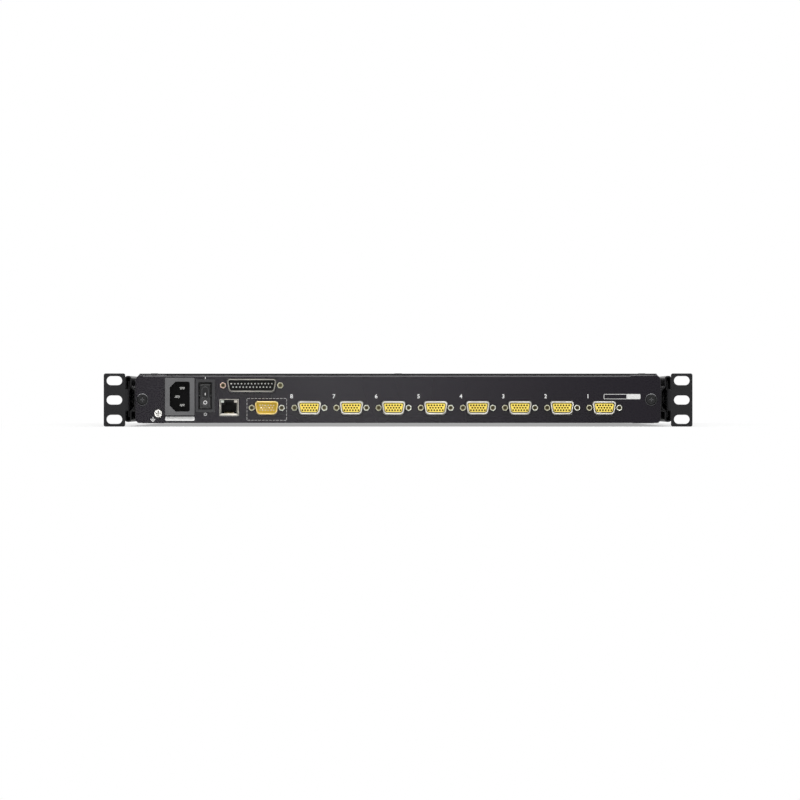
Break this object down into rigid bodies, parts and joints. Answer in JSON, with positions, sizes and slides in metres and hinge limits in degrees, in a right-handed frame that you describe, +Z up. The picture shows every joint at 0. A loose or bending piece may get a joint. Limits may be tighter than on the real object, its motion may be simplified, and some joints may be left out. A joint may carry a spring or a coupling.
{
  "type": "rackmount lcd console drawer",
  "caption": "One-unit rack drawer with a folding screen and keyboard on telescopic slides, and rear console switch ports.",
  "frame": {"origin": "centre of the front rack-mounting plane, at the back face of the front ears and half the unit's height", "axes": "+X to the operator's right, +Y into the rack towards the rear panel, +Z up"},
  "size_m": [0.4826, 0.686, 0.0439],
  "materials": {
    "case_paint": "satin",
    "panel_paint": "satin",
    "bracket_paint": "satin",
    "slide_steel": "satin",
    "tray_paint": "satin",
    "hinge_steel": "satin",
    "deck_plastic": "fine grain",
    "handle_plastic": "fine grain",
    "catch_plastic": "fine grain",
    "key_plastic": "fine grain",
    "pad_plastic": "smooth",
    "lid_paint": "satin",
    "bezel_plastic": "fine grain",
    "screen": "anti-glare",
    "button_plastic": "smooth",
    "inlet_plastic": "smooth",
    "switch_plastic": "smooth",
    "rocker_plastic": "smooth",
    "shell_nickel": "satin nickel",
    "insert_black": "smooth",
    "insert_yellow": "smooth",
    "contact_metal": "plated",
    "jackscrew_metal": "plated",
    "ground_metal": "plated",
    "screw_black": "satin",
    "board_green": "lacquered"
  },
  "bodies": {
    "chassis": {"base_pan": "case_paint", "rear_panel": "panel_paint", "top_cover": "case_paint", "bulkhead": "case_paint", "mounting_rail_left": "case_paint", "mounting_rail_right": "case_paint", "front_ear_left": "case_paint", "front_ear_right": "case_paint", "slide_outer_left": "slide_steel", "slide_outer_right": "slide_steel", "power_inlet": "inlet_plastic", "power_switch_frame": "switch_plastic", "network_jack_shell": "shell_nickel", "network_jack_insert": "insert_black", "pin_port_shells": "shell_nickel", "chain_port_insert": "insert_black", "console_port_insert": "insert_yellow", "computer_port_shells": "shell_nickel", "computer_port_inserts": "insert_yellow", "connector_contacts": "contact_metal", "port_jackscrews": "jackscrew_metal", "ground_screw": "ground_metal", "case_screws": "screw_black", "switch_board": "board_green", "power_supply": "board_green"},
    "power_switch": {"power_rocker": "rocker_plastic"},
    "rear_bracket_left": {"rear_bracket_left": "bracket_paint"},
    "rear_bracket_right": {"rear_bracket_right": "bracket_paint"},
    "slide_middle_left": {"slide_middle_left": "slide_steel"},
    "slide_middle_right": {"slide_middle_right": "slide_steel"},
    "drawer": {"slide_inner_left": "slide_steel", "slide_inner_right": "slide_steel", "drawer_tray": "tray_paint", "keyboard_deck": "deck_plastic", "keyboard_base": "deck_plastic", "front_handle": "handle_plastic", "touchpad": "pad_plastic", "hinge_bracket_left": "hinge_steel", "hinge_bracket_right": "hinge_steel"},
    "lid": {"lid_cover": "lid_paint", "lid_bezel": "bezel_plastic", "lcd_panel": "screen", "button_board": "board_green", "hinge_arm_left": "hinge_steel", "hinge_arm_right": "hinge_steel"},
    "catch_left": {"release_catch_left": "catch_plastic"},
    "catch_right": {"release_catch_right": "catch_plastic"},
    "pad_button_left": {"touchpad_button_left": "pad_plastic"},
    "pad_button_right": {"touchpad_button_right": "pad_plastic"},
    "keys_function_row": {"keys_function_row": "key_plastic"},
    "keys_number_row": {"keys_number_row": "key_plastic"},
    "keys_upper_row": {"keys_upper_row": "key_plastic"},
    "keys_home_row": {"keys_home_row": "key_plastic"},
    "keys_lower_row": {"keys_lower_row": "key_plastic"},
    "keys_space_row": {"keys_space_row": "key_plastic"},
    "menu_button": {"menu_button": "button_plastic"},
    "select_button": {"select_button": "button_plastic"},
    "minus_button": {"minus_button": "button_plastic"},
    "plus_button": {"plus_button": "button_plastic"},
    "screen_power_button": {"screen_power_button": "button_plastic"}
  },
  "joints": [
    {"name": "drawer_slide", "type": "slide", "parent": "chassis", "child": "drawer", "axis": [0, -1, 0], "range_m": [0, 0.4]},
    {"name": "slide_middle_left_run", "type": "slide", "parent": "chassis", "child": "slide_middle_left", "axis": [0, -1, 0], "range_m": [0, 0.2]},
    {"name": "slide_middle_right_run", "type": "slide", "parent": "chassis", "child": "slide_middle_right", "axis": [0, -1, 0], "range_m": [0, 0.2]},
    {"name": "lid_hinge", "type": "hinge", "parent": "drawer", "child": "lid", "pos_m": [0, 0.352, 0.006], "axis": [-1, 0, 0], "range_deg": [0, 115]},
    {"name": "power_rocker_tilt", "type": "hinge", "parent": "chassis", "child": "power_switch", "pos_m": [0.1584, 0.648, 0.0034], "axis": [1, 0, 0], "range_deg": [0, 16]},
    {"name": "rear_bracket_left_run", "type": "slide", "parent": "chassis", "child": "rear_bracket_left", "axis": [0, 1, 0], "range_m": [-0.012, 0.14]},
    {"name": "rear_bracket_right_run", "type": "slide", "parent": "chassis", "child": "rear_bracket_right", "axis": [0, 1, 0], "range_m": [-0.012, 0.14]},
    {"name": "catch_left_thumb", "type": "slide", "parent": "drawer", "child": "catch_left", "axis": [1, 0, 0], "range_m": [0, 0.004], "stiffness_N_per_m": 300, "springref_m": -0.002},
    {"name": "catch_right_thumb", "type": "slide", "parent": "drawer", "child": "catch_right", "axis": [-1, 0, 0], "range_m": [0, 0.004], "stiffness_N_per_m": 300, "springref_m": -0.002},
    {"name": "pad_button_left_press", "type": "slide", "parent": "drawer", "child": "pad_button_left", "axis": [0, 0, -1], "range_m": [0, 0.0008], "stiffness_N_per_m": 500, "springref_m": -0.001},
    {"name": "pad_button_right_press", "type": "slide", "parent": "drawer", "child": "pad_button_right", "axis": [0, 0, -1], "range_m": [0, 0.0008], "stiffness_N_per_m": 500, "springref_m": -0.001},
    {"name": "keys_function_row_press", "type": "slide", "parent": "drawer", "child": "keys_function_row", "axis": [0, 0, -1], "range_m": [0, 0.003], "stiffness_N_per_m": 600, "springref_m": -0.002},
    {"name": "keys_number_row_press", "type": "slide", "parent": "drawer", "child": "keys_number_row", "axis": [0, 0, -1], "range_m": [0, 0.003], "stiffness_N_per_m": 600, "springref_m": -0.002},
    {"name": "keys_upper_row_press", "type": "slide", "parent": "drawer", "child": "keys_upper_row", "axis": [0, 0, -1], "range_m": [0, 0.003], "stiffness_N_per_m": 600, "springref_m": -0.002},
    {"name": "keys_home_row_press", "type": "slide", "parent": "drawer", "child": "keys_home_row", "axis": [0, 0, -1], "range_m": [0, 0.003], "stiffness_N_per_m": 600, "springref_m": -0.002},
    {"name": "keys_lower_row_press", "type": "slide", "parent": "drawer", "child": "keys_lower_row", "axis": [0, 0, -1], "range_m": [0, 0.003], "stiffness_N_per_m": 600, "springref_m": -0.002},
    {"name": "keys_space_row_press", "type": "slide", "parent": "drawer", "child": "keys_space_row", "axis": [0, 0, -1], "range_m": [0, 0.003], "stiffness_N_per_m": 600, "springref_m": -0.002},
    {"name": "menu_button_press", "type": "slide", "parent": "lid", "child": "menu_button", "axis": [0, 0, 1], "range_m": [0, 0.0008], "stiffness_N_per_m": 300, "springref_m": -0.001},
    {"name": "select_button_press", "type": "slide", "parent": "lid", "child": "select_button", "axis": [0, 0, 1], "range_m": [0, 0.0008], "stiffness_N_per_m": 300, "springref_m": -0.001},
    {"name": "minus_button_press", "type": "slide", "parent": "lid", "child": "minus_button", "axis": [0, 0, 1], "range_m": [0, 0.0008], "stiffness_N_per_m": 300, "springref_m": -0.001},
    {"name": "plus_button_press", "type": "slide", "parent": "lid", "child": "plus_button", "axis": [0, 0, 1], "range_m": [0, 0.0008], "stiffness_N_per_m": 300, "springref_m": -0.001},
    {"name": "screen_power_button_press", "type": "slide", "parent": "lid", "child": "screen_power_button", "axis": [0, 0, 1], "range_m": [0, 0.0008], "stiffness_N_per_m": 300, "springref_m": -0.001}
  ],
  "couplings": [
    {"joint": "slide_middle_left_run", "follows": "drawer_slide", "ratio": 0.5},
    {"joint": "slide_middle_right_run", "follows": "drawer_slide", "ratio": 0.5}
  ]
}
